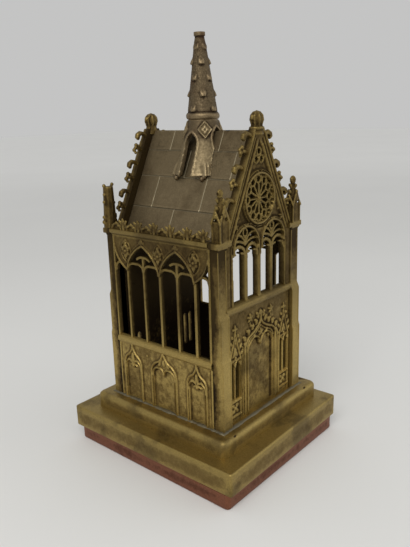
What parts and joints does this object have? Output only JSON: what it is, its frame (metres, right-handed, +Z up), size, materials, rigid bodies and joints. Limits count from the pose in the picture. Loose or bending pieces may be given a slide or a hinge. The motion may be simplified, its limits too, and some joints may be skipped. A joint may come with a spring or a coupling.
{
  "type": "reliquary",
  "caption": "Reliquary in the form of a small Gothic chapel in patinated cast brass, with open arcades, rose windows, crocketed gables and a broken ridge spire, on a stepped base.",
  "frame": {"origin": "centre of the underside of the whole part", "axes": "+Z up to the spire, -Y out of the portal front, ridge of the roof along Y, arcades facing -X and +X"},
  "size_m": [0.125, 0.1408, 0.273],
  "materials": {
    "copper_plate": "red-brown copper, satin, worn bright at the edges",
    "step_brass": "smooth brown-gold brass plate with dark spots and a grey residue at the joint",
    "wall_brass": "cast brass, finely stippled ground, gilded on the relief and brown in the hollows",
    "roof_brass": "grey-brown brass sheet with engraved slab joints",
    "spire_brass": "grey-brown cast brass with a coarse stippled ground"
  },
  "bodies": {
    "root": {"copper_bottom_plate": "copper_plate", "lower_step": "step_brass", "upper_step": "step_brass", "front_gable_wall": "wall_brass", "back_gable_wall": "wall_brass", "left_arcade_wall": "wall_brass", "right_arcade_wall": "wall_brass", "left_roof_slope": "roof_brass", "right_roof_slope": "roof_brass", "spire": "spire_brass"}
  },
  "joints": []
}
